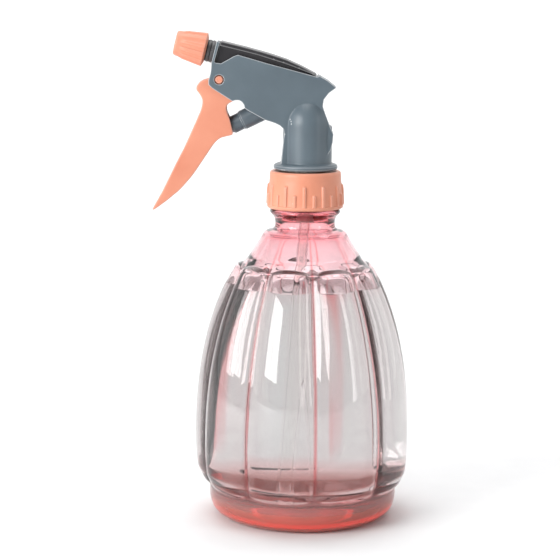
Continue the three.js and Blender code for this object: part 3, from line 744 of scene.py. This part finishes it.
for name, node, args, joint, axis, anchor, keep in (
        ("return_coil", "return_spring", (1.85, 2.8, 9, 10.6, 0.35, pump_m), "piston_slide", (0.898794, 0, 0.438371), (-0.00104, 0, 0.1968), 0.732),
        ("outlet_coil", "outlet_spring", (1.75, 0.85, 3, 6.65, 0.25, nozzle_m), "outlet_lift", (-0.973579, 0, 0.228351), (-0.0502, 0, 0.2159), 0.74)):
    o = coil(name, *args)
    finish_piece(o, "head", STEEL, [node])
    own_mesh(o)

# ------------------------------------------------------------------ dip tube
def tube_run(name, path, material, nodes=()):
    """A round tube along [x, z] points."""
    verts, faces, n = [], [], 40
    pts = [Vector((x * MM, 0, z * MM)) for x, z in path]
    loops = []
    for ro in (2.45, 1.7):
        rings = []
        for i, p in enumerate(pts):
            t = (pts[min(i + 1, len(pts) - 1)] - pts[max(i - 1, 0)]).normalized()
            a = Vector((0, 1, 0))
            b = t.cross(a)
            row = []
            for k in range(n):
                q = 2 * math.pi * k / n
                row.append(len(verts))
                verts.append(p + (a * math.cos(q) + b * math.sin(q)) * ro * MM)
            rings.append(row)
        loops.append(rings)
    order = loops[0] + loops[1][::-1]
    for a, b in zip(order, order[1:] + order[:1]):
        for k in range(n):
            j = (k + 1) % n
            faces.append((a[k], a[j], b[j], b[k]))
    tube = mesh_of(name, verts, faces)
    outward(tube)
    return finish_piece(tube, "head", material, nodes)


path = fine([(0, 157.8), (0, 150), (0, 141), (-0.6, 130), (-1.5, 118), (-3.2, 85), (-5.2, 45), (-6.6, 14.2)], 8)
wet = [q for q in path if q[1] <= WATER_Z]
dry = [q for q in path if q[1] > WATER_Z]
meet = (np.interp(WATER_Z, [wet[0][1], dry[-1][1]], [wet[0][0], dry[-1][0]]), WATER_Z)
tube_run("dip_tube_run", dry + [meet], TUBE, ["dip_tube"])
tube_run("dip_tube_wet", [(meet[0], meet[1] - 0.02)] + wet, TUBE_WET)

# ------------------------------------------------------------------ carried-over CAD nodes
for node, mat in (("neck_gasket", NATURAL), ("pump_body", BLACK), ("cylinder_gland", BLACK), ("tube_retainer", NATURAL), ("inlet_ball", STEEL), ("outlet_ball", STEEL),
                  ("piston_cup", NATURAL), ("nozzle_oring", RUBBER), ("nozzle_spinner", NATURAL)):
    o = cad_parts[node]
    o.data.materials.clear()
    o.data.materials.append(mat)

# ------------------------------------------------------------------ floor and light
bm = bmesh.new()
seg = 24
prof = [(-1.6, 0.0)] + [(0.55 + 0.45 * math.sin(a), 0.45 - 0.45 * math.cos(a)) for a in np.linspace(0, math.pi / 2, seg)] + [(1.0, 2.4)]
cols = []
for y, z in prof:
    cols.append([bm.verts.new((x, y, z)) for x in (-2.4, 2.4)])
for a, b in zip(cols, cols[1:]):
    bm.faces.new((a[0], a[1], b[1], b[0]))
me = bpy.data.meshes.new("studio_floor")
bm.to_mesh(me)
bm.free()
floor = link("studio_floor", me)
fm = plastic("pale_floor", (0.90, 0.90, 0.90, 1), (0.91, 0.91, 0.91, 1), (0.92, 0.92, 0.92, 1), rough=(0.7, 0.8), grain=0.0, edge_highlight=0.0)
me.materials.append(fm)
floor.location.z = -0.0002


def area(name, loc, look, size, power, color=(1, 1, 1)):
    l = bpy.data.lights.new(name, "AREA")
    l.shape, l.size, l.size_y = "RECTANGLE", size[0], size[1]
    l.energy, l.color = power, color
    o = bpy.data.objects.new(name, l)
    o.location = loc
    o.rotation_euler = (Vector(look) - Vector(loc)).to_track_quat("-Z", "Y").to_euler()
    scene.collection.objects.link(o)
    return o


area("key_left", (-0.80, -0.68, 0.46), (0, 0, 0.12), (0.62, 0.60), 10.5)
area("fill_right", (0.95, -0.6, 0.45), (0, 0, 0.1), (0.20, 0.9), 1.6)
area("top", (-0.1, -0.1, 1.3), (0, 0, 0.1), (0.7, 0.7), 4.5)
area("backdrop_light", (0, 0.35, 1.3), (0, 1.0, 0.3), (1.6, 0.5), 9.0)

for side in (-1, 1):
    card = area("side_card", (side * 1.7, 0.35, 0.5), (0, 0, 0.12), (1.8, 1.3), 7.0)
    card.visible_diffuse = False

world = bpy.data.worlds.new("studio")
scene.world = world
world.use_nodes = True
world.node_tree.nodes["Background"].inputs[0].default_value = (0.93, 0.94, 0.96, 1)
world.node_tree.nodes["Background"].inputs[1].default_value = 0.36
scene.view_settings.view_transform = "Standard"
scene.view_settings.look = "None"
scene.cycles.max_bounces = 32
scene.cycles.transmission_bounces = 32
